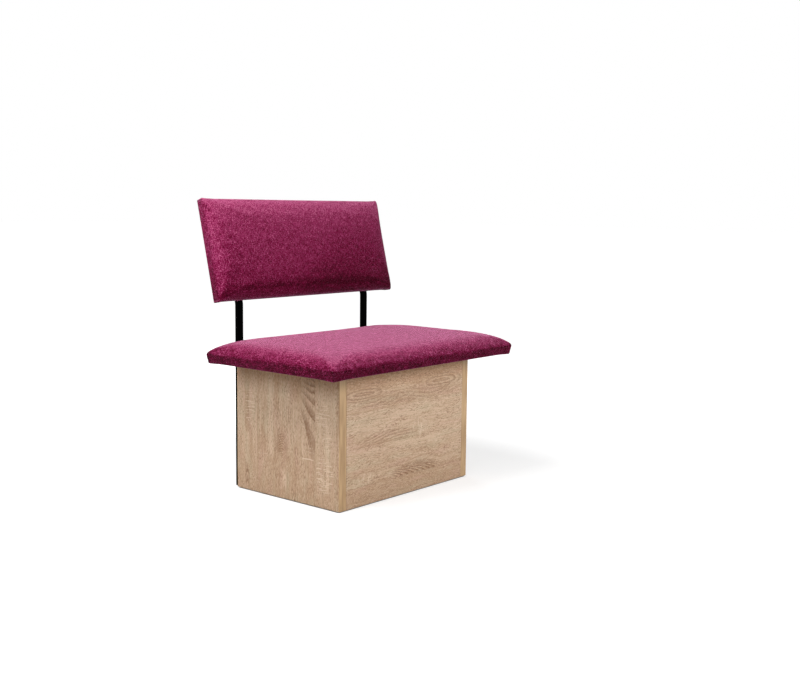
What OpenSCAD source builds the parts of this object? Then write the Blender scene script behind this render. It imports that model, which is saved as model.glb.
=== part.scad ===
// Bench with backrest for a cafe or waiting area.
// A box base of laminated chipboard carries an upholstered seat, and two steel uprights
// behind the base carry an upholstered backrest.
// Millimetres, +Z up, +Y to the back, +X to the right of someone looking at the front.
// The origin is on the floor, below the middle of the bench's overall width and depth.

/* [Base] */
// Width over both side panels
base_w = 575; // [480:5:700]
// Depth from the front face to the back face
base_d = 415; // [360:5:500]
// Height of the top edges of the panels above the floor
base_top_h = 385; // [340:5:420]
// Thickness of the laminated chipboard
board_t = 28; // [26:1:32]
// Thickness of the plastic bands on the upright edges of the side panels
band_t = 2; // [1:0.5:3]
// Rounding along the outer corners of the bands
band_round = 1.5; // [0.5:0.25:3]
// Width and height of the fixing battens inside
batten_size = 30; // [24:1:36]
// Gap between the ends of a batten and the panels
batten_end_gap = 10; // [4:1:30]

/* [Glides] */
// Height of the plastic glides under the side panels
glide_h = 3; // [2:0.5:6]
// Diameter of a glide
glide_d = 20; // [14:1:24]
// Distance from a glide's centre to the front or back of the base
glide_inset = 30; // [20:1:80]
// Diameter of a glide's nail
nail_d = 2.5; // [2:0.25:3.5]
// Length of the nail above the glide
nail_l = 18; // [12:1:22]

/* [Seat] */
// Width of the seat at its widest line
seat_w = 800; // [720:10:1000]
// How far the seat stands out in front of the base
seat_overhang = 85; // [40:5:120]
// Height of the seat's edge, from its underside to its widest line
seat_edge_h = 29; // [26:1:40]
// Rise of the padding near its edge
seat_crown_h = 34; // [15:1:50]
// Further rise of the padding over the whole seat
seat_dome_h = 5; // [0:1:15]
// Distance in from the edge over which the padding rises
seat_crown_reach = 115; // [80:5:160]
// How far the sides draw in towards the underside
seat_slope = 5; // [1:0.5:8]
// Radius of the seat's corners, seen from above
seat_corner_r = 5; // [4:1:25]
// Thickness of the seat board
seat_board_t = 16; // [15:1:20]

/* [Backrest] */
// Width of the backrest
back_w = 748; // [640:1:900]
// Height of the backrest along its slope
back_h = 300; // [240:2:360]
// Height of the backrest's lower back edge above the floor
back_bottom_h = 554; // [530:2:600]
// Lean of the backrest from the upright
back_lean = 13.6; // [6:0.1:18]
// Thickness of the backrest's edge
back_edge_t = 26; // [22:1:34]
// Bulge of the padding near its edge
back_crown_h = 22; // [10:1:35]
// Further bulge of the padding over the whole backrest
back_dome_h = 7; // [0:1:15]
// Distance in from the edge over which the padding bulges
back_crown_reach = 85; // [60:5:110]
// How far the edges draw in towards the back
back_slope = 2; // [0.5:0.5:5]
// Radius of the backrest's corners, seen from the front
back_corner_r = 4; // [4:1:20]
// Thickness of the backrest board
back_board_t = 12; // [12:1:15]

/* [Cloth] */
// Thickness of the cover and of the lining
cloth_t = 1.2; // [0.8:0.1:2]
// Width of the cover folded round to the back of each board
fold_w = 25; // [15:1:40]
// How far the sides of the padding bow in between the corners
side_bow = 2; // [0:0.5:4]

/* [Uprights] */
// Width of the steel tube, side to side
post_w = 20; // [16:1:25]
// Depth of the steel tube, front to back
post_d = 15; // [12:1:20]
// Wall of the tube
post_wall = 1.5; // [1:0.25:2]
// Rounding of the tube's outer corners
post_corner_r = 2; // [1:0.25:3]
// Distance from the tube's outer face in from the side of the base
post_inset = 6.5; // [4:0.5:9]
// Radius of the bend at the middle of the tube
post_bend_r = 25; // [15:1:40]
// Height of the bend below the backrest's lower edge
bend_below_back = 7; // [6:0.5:25]
// Distance from the top of the tube to the top of the backrest, along the slope
post_top_drop = 50; // [20:1:90]
// Height of the tube's end plug above the floor
post_foot_h = 3.5; // [2:0.5:10]
// Thickness of a plug's rim outside the tube
plug_rim_t = 2; // [1:0.5:4]
// Length of a plug inside the tube
plug_l = 14; // [8:1:25]

/* [Corner joints] */
// Diameter of the wooden dowels
dowel_d = 8; // [6:1:10]
// Length of the dowels
dowel_l = 35; // [30:1:40]
// Depth of a dowel in the side panel
dowel_in_side = 13; // [10:0.5:15]
// Distance from a dowel to the top or bottom of the panels
dowel_from_end = 32; // [24:1:38]
// Diameter of the cam locks
cam_d = 15; // [12:0.5:17]
// Depth of the cam locks in the panel
cam_depth = 20; // [18:0.5:21]
// Distance from a cam's centre to the side panel
cam_setback = 24; // [20:1:34]
// Distance from a cam to the top or bottom of the panels
cam_from_end = 64; // [56:1:72]
// Diameter of a cam bolt's thread
cam_thread_d = 6; // [5:0.5:7]
// Length of a cam bolt's thread in the side panel
cam_thread_l = 11; // [8:0.5:12]
// Diameter of a cam bolt's shank
cam_shank_d = 5; // [4:0.25:6]
// Diameter of a cam bolt's head
cam_head_d = 7; // [6.5:0.25:8]

/* [Bolts and screws] */
// Diameter of the bolts in the uprights
bolt_d = 6; // [5:0.5:8]
// How far the bolts reach into the side panels
base_bolt_bite = 21; // [15:1:24]
// How far the bolts reach into the backrest board
back_bolt_bite = 8; // [6:0.5:9]
// Diameter of a bolt's round head
bolt_head_d = 11; // [10:0.5:14]
// Height of a bolt's round head
bolt_head_h = 3.3; // [2.5:0.1:5]
// Width across the flats of the key socket in a bolt's head
bolt_key = 4; // [3:0.5:5]
// Diameter of the washers
washer_d = 12.5; // [11:0.5:15]
// Thickness of the washers
washer_t = 1.6; // [1:0.1:2]
// Number of bolts from each upright into the base
base_bolts_per_post = 3; // [2:1:4]
// Distance from the outer bolts to the top or bottom of the panels
base_bolt_from_end = 96; // [90:1:120]
// Distance from the lower bolts to the backrest's lower edge, along the slope
back_bolt_low = 45; // [35:1:80]
// Distance from the upper bolts to the top of the uprights, along the slope
back_bolt_high = 40; // [30:1:60]
// Outer diameter of the threaded inserts
insert_d = 10; // [9.5:0.25:12]
// Length of the inserts in the base
base_insert_l = 20; // [15:1:24]
// Length of the inserts in the backrest board
back_insert_l = 10; // [8:0.5:10.5]
// Diameter of the wood screws
screw_d = 4.5; // [3.5:0.25:5]
// How far the screws reach into the side panels and the seat board
screw_bite = 13.5; // [9:0.5:14]
// Diameter of a wood screw's head
screw_head_d = 9; // [7.5:0.25:10]
// Screws through each batten into the side panel
side_screws_per_batten = 3; // [3:2:5]
// Screws through each batten into the seat board
seat_screws_per_batten = 4; // [2:2:6]
// Distance from the outer side screws to the ends of a batten
side_screw_inset = 55; // [45:1:70]
// Distance from the outer seat screws to the ends of a batten
seat_screw_inset = 20; // [14:1:28]

/* [Clearances] */
// Play round a bolt in the holes of the tube, the bands and the cloth
bolt_play = 0.3; // [0.1:0.05:0.5]
// Play round a piece that is glued, driven or screwed into its hole
driven_play = 0.05; // [0.02:0.01:0.1]
// Play between the seat cover and the uprights
seat_post_play = 0.3; // [0.2:0.1:2]
// Play between the boards, the foam and the inside of the covers
pad_play = 0.25; // [0.15:0.05:0.5]
// Spare depth at the bottom of the blind holes
hole_spare = 1; // [0.25:0.25:1.25]

/* [Hidden] */

LEFT = -1;
RIGHT = 1;
SIDES = [LEFT, RIGHT];
MANY = 48;
// A cut starts and ends this far outside the piece that it goes through
CUT = 1;

OAK = [0.78, 0.67, 0.57];
BAND = [0.74, 0.62, 0.49];
PINE = [0.86, 0.74, 0.54];
CHIPBOARD = [0.80, 0.70, 0.52];
PLYWOOD = [0.82, 0.70, 0.50];
BEECH = [0.80, 0.62, 0.42];
FOAM = [0.93, 0.90, 0.78];
VELVET = [0.55, 0.09, 0.33];
LINING = [0.12, 0.12, 0.12];
BLACK_STEEL = [0.05, 0.05, 0.05];
BLACK_PLASTIC = [0.08, 0.08, 0.08];
GLIDE_GREY = [0.35, 0.34, 0.33];
ZINC = [0.70, 0.71, 0.72];

// Panels
panel_bottom = glide_h;
panel_h = base_top_h - glide_h;
inner_w = base_w - 2 * board_t;
front_inner_y = board_t;
rear_inner_y = base_d - board_t;
side_panel_x = base_w / 2 - board_t / 2;

// Uprights: front and back of the tube, and the corner where its front planes would meet
post_x = base_w / 2 - post_inset - post_w / 2;
bend_h = back_bottom_h - bend_below_back;
bend_outer_r = post_bend_r + post_d / 2;
bend_tangent = bend_outer_r * tan(back_lean / 2);
back_start = bend_below_back / cos(back_lean);
post_end = back_start + back_h - post_top_drop;
tube_bottom = post_foot_h + plug_rim_t;
tube_end = post_end - plug_rim_t;

// Overall depth, which sets the origin
rear_extent = base_d + post_end * sin(back_lean) + post_d * cos(back_lean);
middle_y = (rear_extent - seat_overhang) / 2;

// Seat and backrest in their own frames: x across, y front to back or upwards, z out of the board
seat_y0 = -seat_overhang;
seat_y1 = base_d - seat_post_play;

// Heights and places of the fasteners
dowel_heights = [panel_bottom + dowel_from_end, base_top_h - dowel_from_end];
cam_heights = [panel_bottom + cam_from_end, base_top_h - cam_from_end];
joint_rows = [board_t / 2, base_d - board_t / 2];
base_bolt_heights = spaced(panel_bottom + base_bolt_from_end, base_top_h - base_bolt_from_end,
                           base_bolts_per_post);
back_bolt_places = [back_start + back_bolt_low, post_end - back_bolt_high];
batten_y0 = front_inner_y + batten_end_gap;
batten_y1 = rear_inner_y - batten_end_gap;
side_screw_places = spaced(batten_y0 + side_screw_inset, batten_y1 - side_screw_inset,
                           side_screws_per_batten);
seat_screw_places = spaced(batten_y0 + seat_screw_inset, batten_y1 - seat_screw_inset,
                           seat_screws_per_batten);
batten_x = inner_w / 2 - batten_size / 2;
side_screw_h = base_top_h - batten_size / 2;
glide_places = [glide_inset, base_d - glide_inset];

// Sizes of small features
cam_channel_d = cam_head_d + 1;
cam_collar_l = 2;
cam_head_l = 3;
cam_slot_w = 1.5;
cam_slot_depth = 2;
nail_head_d = 2 * nail_d;
nail_head_t = nail_d / 4;
screw_play = 0.25;
tube_inner_r = max(post_corner_r - post_wall, 0.4);
fold_corner_r = 8;
board_corner_extra = 2;

// Padding: points on each corner and side of a ring, and rings up the crown
corner_steps = 3;
long_steps = 10;
short_steps = 6;
crown_rings = 5;
dome_rings = 2;
// How fast the crown rises from its edge, and how the rings crowd there
crown_power = 4.4;
ring_crowding = 1.7;
// How fast the corners of the rings round off towards the middle, and their largest share of a ring
corner_growth = 1.6;
corner_share = 0.9;
// Where the last ring lies, as a share of the way to the middle
last_ring = 0.85;

// Places that share the length between two ends evenly
function spaced(first, last, count) = [for (i = [0 : count - 1]) first + (last - first) * i / (count - 1)];

function between(a, b, t) = a + (b - a) * t;

// Points along one side of a ring after its corner, drawn in by the bow
function side_points(a, b, bow, steps) =
    let (along = b - a, inward = [-along.y, along.x] / norm(along))
    [for (i = [1 : steps - 1]) between(a, b, i / steps) + inward * bow * sin(180 * i / steps)];

function corner_point(c, r, angle) = [c.x + r * cos(angle), c.y + r * sin(angle)];

// A ring: a rectangle with round corners and bowed sides, at one height, anticlockwise
function ring(x, y0, y1, r, z, bow) =
    let (centres = [[x - r, y1 - r], [r - x, y1 - r], [r - x, y0 + r], [x - r, y0 + r]])
    [for (k = [0 : 3])
        let (start = 90 * k, next = (k + 1) % 4, steps = k % 2 == 0 ? long_steps : short_steps,
             arc_end = corner_point(centres[k], r, start + 90),
             next_start = corner_point(centres[next], r, start + 90))
        each [for (p = concat(
            [for (i = [0 : corner_steps]) corner_point(centres[k], r, start + 90 * i / corner_steps)],
            side_points(arc_end, next_start, bow, steps))) [p.x, p.y, z]]];

function crown_rise(t) = 1 - pow(1 - t, crown_power);

// Rings of a padded form, from the bottom of its side wall to the middle of its crown.
// slope and far_slope are how far the walls draw in at the bottom, far_slope at the y1 side;
// skin is how far the form lies inside the outermost one, and from_z is where its wall starts.
function pad_ring(w, y0, y1, r, inset, far_inset, skin, z, bow) =
    let (x = w / 2 - skin - inset, near = y0 + skin + inset, far = y1 - skin - far_inset)
    ring(x, near, far, min(r, corner_share * min(x, (far - near) / 2)), z, bow);
function pad_rings(w, y0, y1, r, edge, slope, far_slope, crown, dome, reach, skin, from_z) =
    let (inner_r = max(r - skin, 1), half = (y1 - y0) / 2,
         insets = concat([for (i = [0 : crown_rings]) reach * pow(i / crown_rings, ring_crowding)],
                         [for (i = [1 : dome_rings]) between(reach, last_ring * half, i / dome_rings)]))
    concat(
        [for (z = [from_z, (from_z + edge - skin) / 2]) let (low = 1 - z / edge)
            pad_ring(w, y0, y1, inner_r, slope * low, far_slope * low, skin, z, side_bow * (1 - low))],
        [for (d = insets) let (t = min(d / reach, 1), left = 1 - d / half)
            pad_ring(w, y0, y1, inner_r + corner_growth * d, d, d, skin,
                     edge - skin + crown * crown_rise(t) + dome * (1 - left * left),
                     side_bow * (1 - t))]);

function seat_rings(skin, from_z) =
    pad_rings(seat_w, seat_y0, seat_y1, seat_corner_r, seat_edge_h, seat_slope, 0,
              seat_crown_h, seat_dome_h, seat_crown_reach, skin, from_z);
function back_rings(skin, from_z) =
    pad_rings(back_w, back_start, back_start + back_h, back_corner_r, back_edge_t, back_slope, back_slope,
              back_crown_h, back_dome_h, back_crown_reach, skin, from_z);

function reversed(list) = [for (i = [len(list) - 1 : -1 : 0]) list[i]];

function middle_of(one_ring) = [0, (min([for (p = one_ring) p.y]) + max([for (p = one_ring) p.y])) / 2,
                                one_ring[0].z];

// A closed solid through a list of rings that all have the same number of points.
// Its first and last rings are closed by a fan of triangles round their middles.
module loft(rings) {
    n = len(rings[0]);
    last = len(rings) - 1;
    first_middle = len(rings) * n;
    last_middle = first_middle + 1;
    points = concat([for (one = rings) each one], [middle_of(rings[0]), middle_of(rings[last])]);
    walls = [for (i = [0 : last - 1]) for (j = [0 : n - 1])
        let (a = i * n + j, b = i * n + (j + 1) % n)
        each [[a, a + n, b], [b, a + n, b + n]]];
    ends = [for (j = [0 : n - 1]) let (next = (j + 1) % n)
        each [[first_middle, j, next], [last_middle, last * n + next, last * n + j]]];
    polyhedron(points = points, faces = concat(walls, ends));
}

// A cover: the inside of the padding, down to the fold under the board, and out over the outside
module folded_cover(inside, fold_top, fold_bottom, outside) {
    loft(concat(reversed(inside), [fold_top, fold_bottom], outside));
}

module round_plate(x, y0, y1, r, t) {
    linear_extrude(t) {
        translate([-x + r, y0]) square([2 * (x - r), y1 - y0]);
        translate([-x, y0 + r]) square([2 * x, y1 - y0 - 2 * r]);
        for (side = SIDES, y = [y0 + r, y1 - r]) translate([side * (x - r), y]) circle(r, $fn = MANY);
    }
}

// Round bars along each axis, from one coordinate to another
module rod_x(x0, x1, y, z, d) {
    translate([x0, y, z]) rotate([0, 90, 0]) cylinder(d = d, h = x1 - x0, $fn = MANY);
}
module rod_y(x, y0, y1, z, d) {
    translate([x, y1, z]) rotate([90, 0, 0]) cylinder(d = d, h = y1 - y0, $fn = MANY);
}
module rod_z(x, y, z0, z1, d) {
    translate([x, y, z0]) cylinder(d = d, h = z1 - z0, $fn = MANY);
}

// Pieces are drawn on the right side and mirrored to the left
module on_side(side) {
    if (side == LEFT) mirror([1, 0, 0]) children();
    else children();
}
module on_both_sides() {
    for (side = SIDES) on_side(side) children();
}
// Pieces at the front of the base, repeated at its back
module on_row(y) {
    if (y > base_d / 2) translate([0, base_d, 0]) mirror([0, 1, 0]) children();
    else children();
}
module on_both_rows() {
    for (y = joint_rows) on_row(y) children();
}

module placed() {
    translate([0, -middle_y, 0]) children();
}
module seat_place() {
    placed() translate([0, 0, base_top_h]) children();
}
// The backrest's own frame: y up its slope from the bend, z out of its front
module back_place() {
    placed() leaning() children();
}
module leaning() {
    translate([0, base_d, bend_h]) rotate([90 - back_lean, 0, 0]) children();
}

// Holes for the corner joints, in a side panel and in the end of a cross panel
module side_joint_holes() {
    on_both_rows() {
        for (z = dowel_heights)
            rod_x(inner_w / 2 - CUT, inner_w / 2 + dowel_in_side + hole_spare, board_t / 2, z,
                  dowel_d + 2 * driven_play);
        for (z = cam_heights)
            rod_x(inner_w / 2 - CUT, inner_w / 2 + cam_thread_l + hole_spare, board_t / 2, z,
                  cam_thread_d + 2 * driven_play);
    }
}
module cross_joint_holes() {
    for (z = dowel_heights)
        rod_x(inner_w / 2 - (dowel_l - dowel_in_side) - hole_spare, inner_w / 2 + CUT, board_t / 2, z,
              dowel_d + 2 * driven_play);
    for (z = cam_heights) {
        rod_x(inner_w / 2 - cam_setback, inner_w / 2 + CUT, board_t / 2, z, cam_channel_d);
        rod_y(inner_w / 2 - cam_setback, board_t - cam_depth, board_t + CUT, z, cam_d + 2 * driven_play);
    }
}

module side_panel(side) {
    color(OAK) on_side(side) difference() {
        translate([inner_w / 2, band_t, panel_bottom])
            cube([board_t, base_d - 2 * band_t, panel_h]);
        side_joint_holes();
        for (z = base_bolt_heights) {
            rod_y(post_x, base_d - band_t - base_insert_l, base_d, z, insert_d + 2 * driven_play);
            rod_y(post_x, base_d - band_t - base_bolt_bite - hole_spare, base_d, z, bolt_d + 2 * bolt_play);
        }
        for (y = side_screw_places)
            rod_x(inner_w / 2 - CUT, inner_w / 2 + screw_bite + hole_spare, y, side_screw_h,
                  screw_d + 2 * driven_play);
        for (y = glide_places)
            rod_z(side_panel_x, y, panel_bottom - CUT, panel_bottom + nail_l + hole_spare,
                  nail_d + 2 * driven_play);
    }
}

// A front or rear panel, between the side panels, with its outer face flush with their bands
module cross_panel() {
    color(OAK) difference() {
        translate([-inner_w / 2, 0, panel_bottom]) cube([inner_w, board_t, panel_h]);
        on_both_sides() cross_joint_holes();
    }
}

module front_panel() {
    cross_panel();
}

module rear_panel() {
    on_row(base_d) cross_panel();
}

// A plastic band on the front edge of a side panel, with its outer corners rounded
module edge_band_shape() {
    r = min(band_round, band_t);
    translate([inner_w / 2, 0, panel_bottom]) linear_extrude(panel_h) {
        translate([r, 0]) square([board_t - 2 * r, band_t]);
        if (band_t > r) translate([0, r]) square([board_t, band_t - r]);
        intersection() {
            square([board_t, band_t]);
            for (x = [r, board_t - r]) translate([x, r]) circle(r, $fn = MANY);
        }
    }
}

module front_edge_band(side) {
    color(BAND) on_side(side) edge_band_shape();
}

module rear_edge_band(side) {
    color(BAND) on_side(side) difference() {
        on_row(base_d) edge_band_shape();
        for (z = base_bolt_heights)
            rod_y(post_x, base_d - band_t - CUT, base_d + CUT, z, bolt_d + 2 * bolt_play);
    }
}

// A wood screw with a countersunk head, its head's top at the origin and its tip down -Z
module wood_screw(length) {
    tip = 2 * screw_d / 3;
    sink = (screw_head_d - screw_d) / 2;
    rotate_extrude($fn = MANY)
        polygon([[0, 0], [screw_head_d / 2, 0], [screw_d / 2, -sink], [screw_d / 2, tip - length],
                 [0, -length]]);
}
// The hole for such a screw in the piece that its head sits in
module wood_screw_hole(length) {
    sink = (screw_head_d - screw_d) / 2;
    play = screw_play;
    rotate_extrude($fn = MANY)
        polygon([[0, CUT], [screw_head_d / 2 + play, CUT], [screw_head_d / 2 + play, 0],
                 [screw_d / 2 + play, -sink], [screw_d / 2 + play, -length], [0, -length]]);
}
// Places a screw, or its hole, through a batten into the side panel or the seat board
module at_side_screws() {
    for (y = side_screw_places)
        translate([inner_w / 2 - batten_size, y, side_screw_h]) rotate([0, -90, 0]) children();
}
module at_seat_screws() {
    for (y = seat_screw_places)
        translate([batten_x, y, base_top_h - batten_size]) rotate([180, 0, 0]) children();
}

module seat_batten(side) {
    color(PINE) on_side(side) difference() {
        translate([inner_w / 2 - batten_size, batten_y0, base_top_h - batten_size])
            cube([batten_size, batten_y1 - batten_y0, batten_size]);
        at_side_screws() wood_screw_hole(batten_size + CUT);
        at_seat_screws() wood_screw_hole(batten_size + CUT);
    }
}

module batten_screws() {
    color(ZINC) on_both_sides() at_side_screws() wood_screw(batten_size + screw_bite);
}

module seat_screws() {
    color(ZINC) on_both_sides() at_seat_screws() wood_screw(batten_size + cloth_t + screw_bite);
}

// Fluted dowels with chamfered ends, half in the side panel and half in the cross panel
module joint_dowels() {
    chamfer = dowel_d / 8;
    r = dowel_d / 2;
    color(BEECH) on_both_sides() on_both_rows() for (z = dowel_heights)
        translate([inner_w / 2 + dowel_in_side, board_t / 2, z]) rotate([0, -90, 0])
            rotate_extrude($fn = MANY)
                polygon([[0, 0], [r - chamfer, 0], [r, chamfer], [r, dowel_l - chamfer],
                         [r - chamfer, dowel_l], [0, dowel_l]]);
}

// Cam bolts: a thread in the side panel, a collar, and a shank with a head inside the cam
module cam_bolts() {
    color(ZINC) on_both_sides() on_both_rows() for (z = cam_heights) {
        x = inner_w / 2;
        union() {
            rod_x(x - cam_collar_l, x + cam_thread_l, board_t / 2, z, cam_thread_d);
            rod_x(x - cam_collar_l, x, board_t / 2, z, cam_head_d);
            rod_x(x - cam_setback, x, board_t / 2, z, cam_shank_d);
            rod_x(x - cam_setback - cam_head_l / 2, x - cam_setback + cam_head_l / 2, board_t / 2, z,
                  cam_head_d);
        }
    }
}

// Cam locks: a drum in the inner face, with a channel for the bolt's head and a cross slot
module cam_locks() {
    slot_l = 0.6 * cam_d;
    color(ZINC) on_both_sides() on_both_rows() for (z = cam_heights) difference() {
        x = inner_w / 2 - cam_setback;
        rod_y(x, board_t - cam_depth, board_t, z, cam_d);
        rod_x(x - cam_head_l, x + cam_d, board_t / 2, z, cam_channel_d);
        for (turn = [0, 90])
            translate([x, board_t, z]) rotate([0, turn, 0])
                cube([slot_l, 2 * cam_slot_depth, cam_slot_w], center = true);
    }
}

module floor_glides() {
    bevel = glide_h / 4;
    r = glide_d / 2;
    hole = nail_d / 2 + driven_play;
    sink = nail_head_d / 2 + driven_play;
    color(GLIDE_GREY) on_both_sides() for (y = glide_places)
        translate([side_panel_x, y, 0]) rotate_extrude($fn = MANY)
            polygon([[sink, 0], [r - bevel, 0], [r, bevel], [r, glide_h], [hole, glide_h],
                     [hole, glide_h / 2 + nail_head_t], [sink, glide_h / 2]]);
}

module glide_nails() {
    r = nail_d / 2;
    color(ZINC) on_both_sides() for (y = glide_places)
        translate([side_panel_x, y, glide_h / 2]) rotate_extrude($fn = MANY)
            polygon([[0, 0], [nail_head_d / 2, 0], [r, nail_head_t], [r, glide_h / 2 + nail_l - nail_d],
                     [0, glide_h / 2 + nail_l]]);
}

// A board that lies inside its cover, and the lining inside the cover's fold
module cushion_board(w, y0, y1, r, slope, far_slope, t) {
    inset = cloth_t + pad_play + max(0, side_bow - slope);
    far_inset = cloth_t + pad_play + max(0, side_bow - far_slope);
    translate([0, 0, cloth_t])
        round_plate(w / 2 - slope - inset, y0 + slope + inset, y1 - far_slope - far_inset,
                    r + board_corner_extra, t);
}
module cushion_lining(w, y0, y1, slope, far_slope) {
    round_plate(w / 2 - slope - fold_w - pad_play, y0 + slope + fold_w + pad_play,
                y1 - far_slope - fold_w - pad_play, fold_corner_r + board_corner_extra, cloth_t);
}
// The ring at the free edge of the fold, at height z
function fold_ring(w, y0, y1, slope, far_slope, z) =
    pad_ring(w, y0, y1, fold_corner_r, slope + fold_w, far_slope + fold_w, 0, z, 0);

module seat_board() {
    color(CHIPBOARD) seat_place() difference() {
        cushion_board(seat_w, seat_y0, seat_y1, seat_corner_r, seat_slope, 0, seat_board_t);
        on_both_sides() for (y = seat_screw_places)
            rod_z(batten_x, y, 0, cloth_t + screw_bite + hole_spare / 2, screw_d + 2 * driven_play);
    }
}

module seat_foam() {
    color(FOAM) seat_place() loft(seat_rings(cloth_t + pad_play, cloth_t + seat_board_t));
}

module seat_cover() {
    color(VELVET) seat_place()
        folded_cover(seat_rings(cloth_t, cloth_t),
                     fold_ring(seat_w, seat_y0, seat_y1, seat_slope, 0, cloth_t),
                     fold_ring(seat_w, seat_y0, seat_y1, seat_slope, 0, 0),
                     seat_rings(0, 0));
}

module seat_lining() {
    color(LINING) seat_place() difference() {
        cushion_lining(seat_w, seat_y0, seat_y1, seat_slope, 0);
        on_both_sides() for (y = seat_screw_places)
            rod_z(batten_x, y, -CUT, cloth_t + CUT, screw_d + 2 * screw_play);
    }
}

module back_board() {
    color(PLYWOOD) back_place() difference() {
        cushion_board(back_w, back_start, back_start + back_h, back_corner_r, back_slope, back_slope,
                      back_board_t);
        on_both_sides() for (y = back_bolt_places)
            rod_z(post_x, y, 0, cloth_t + back_insert_l + hole_spare, insert_d + 2 * driven_play);
    }
}

module back_foam() {
    color(FOAM) back_place() loft(back_rings(cloth_t + pad_play, cloth_t + back_board_t));
}

module back_cover() {
    color(VELVET) back_place()
        folded_cover(back_rings(cloth_t, cloth_t),
                     fold_ring(back_w, back_start, back_start + back_h, back_slope, back_slope, cloth_t),
                     fold_ring(back_w, back_start, back_start + back_h, back_slope, back_slope, 0),
                     back_rings(0, 0));
}

module back_lining() {
    color(LINING) back_place() difference() {
        cushion_lining(back_w, back_start, back_start + back_h, back_slope, back_slope);
        on_both_sides() for (y = back_bolt_places)
            rod_z(post_x, y, -CUT, cloth_t + CUT, bolt_d + 2 * bolt_play);
    }
}

module rounded_section(w, d, r) {
    translate([r - w / 2, -d / 2]) square([w - 2 * r, d]);
    translate([-w / 2, r - d / 2]) square([w, d - 2 * r]);
    for (x = SIDES, y = SIDES)
        translate([x * (w / 2 - r), y * (d / 2 - r)]) circle(r, $fn = MANY);
}
module tube_section() {
    difference() {
        rounded_section(post_w, post_d, post_corner_r);
        rounded_section(post_w - 2 * post_wall, post_d - 2 * post_wall, tube_inner_r);
    }
}

// A rectangular tube, upright behind the base and bent back behind the backrest
module post(side) {
    bend_start = bend_h - bend_tangent;
    upright_l = bend_start - tube_bottom;
    color(BLACK_STEEL) on_side(side) difference() {
        translate([post_x, base_d + bend_outer_r, bend_start]) union() {
            translate([0, -post_bend_r, -upright_l]) linear_extrude(upright_l) tube_section();
            rotate([90, 0, -90]) rotate_extrude(angle = back_lean, $fn = MANY)
                translate([post_bend_r, 0]) rotate(90) tube_section();
            rotate([-back_lean, 0, 0]) translate([0, -post_bend_r, 0])
                linear_extrude(tube_end - bend_tangent) tube_section();
        }
        for (z = base_bolt_heights)
            rod_y(post_x, base_d - CUT, base_d + post_d + CUT, z, bolt_d + 2 * bolt_play);
        leaning() for (y = back_bolt_places)
            rod_z(post_x, y, -post_d - CUT, CUT, bolt_d + 2 * bolt_play);
    }
}

// An end plug: a rim as wide as the tube, and a block inside it. It points up +Z.
module end_plug() {
    linear_extrude(plug_rim_t) rounded_section(post_w, post_d, post_corner_r);
    inner = 2 * (post_wall + driven_play);
    translate([0, 0, plug_rim_t])
        linear_extrude(plug_l) rounded_section(post_w - inner, post_d - inner, tube_inner_r);
}

module post_foot_plugs() {
    color(BLACK_PLASTIC) on_both_sides()
        translate([post_x, base_d + post_d / 2, post_foot_h]) union() end_plug();
}

module post_top_plugs() {
    color(BLACK_PLASTIC) on_both_sides() leaning()
        translate([post_x, post_end, -post_d / 2]) rotate([90, 0, 0]) union() end_plug();
}

// A threaded insert, its mouth at the origin and its body down -Z
module threaded_insert(length) {
    rotate_extrude($fn = MANY)
        translate([bolt_d / 2 + driven_play, -length])
            square([(insert_d - bolt_d) / 2 - driven_play, length]);
}
// A bolt with a round head, the underside of its head at the origin and its shank down -Z
module round_head_bolt(length) {
    ball_r = (bolt_head_d * bolt_head_d / 4 + bolt_head_h * bolt_head_h) / (2 * bolt_head_h);
    difference() {
        union() {
            rod_z(0, 0, -length, 0, bolt_d);
            intersection() {
                cylinder(d = bolt_head_d, h = bolt_head_h, $fn = MANY);
                translate([0, 0, bolt_head_h - ball_r]) sphere(ball_r, $fn = MANY);
            }
        }
        translate([0, 0, bolt_head_h / 3])
            cylinder(d = bolt_key / cos(30), h = bolt_head_h, $fn = 6);
    }
}
module washer() {
    difference() {
        rod_z(0, 0, 0, washer_t, washer_d);
        rod_z(0, 0, -CUT, washer_t + CUT, bolt_d + 2 * bolt_play);
    }
}

// Places at the bolts: depth is the distance from the tube's back face, along the bolt
module at_base_bolts(depth) {
    for (z = base_bolt_heights)
        translate([post_x, base_d + post_d + depth, z]) rotate([-90, 0, 0]) children();
}
module at_back_bolts(depth) {
    leaning() for (y = back_bolt_places)
        translate([post_x, y, -post_d - depth]) rotate([180, 0, 0]) children();
}

module base_inserts() {
    color(ZINC) on_both_sides() at_base_bolts(-post_d - band_t) threaded_insert(base_insert_l);
}

module base_bolts() {
    color(BLACK_STEEL) on_both_sides() at_base_bolts(washer_t)
        round_head_bolt(washer_t + post_d + band_t + base_bolt_bite);
}

module base_bolt_washers() {
    color(ZINC) on_both_sides() at_base_bolts(0) washer();
}

module back_inserts() {
    color(ZINC) on_both_sides() at_back_bolts(-post_d - cloth_t) threaded_insert(back_insert_l);
}

module back_bolts() {
    color(BLACK_STEEL) on_both_sides() at_back_bolts(washer_t)
        round_head_bolt(washer_t + post_d + cloth_t + back_bolt_bite);
}

module back_bolt_washers() {
    color(ZINC) on_both_sides() at_back_bolts(0) washer();
}

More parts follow.
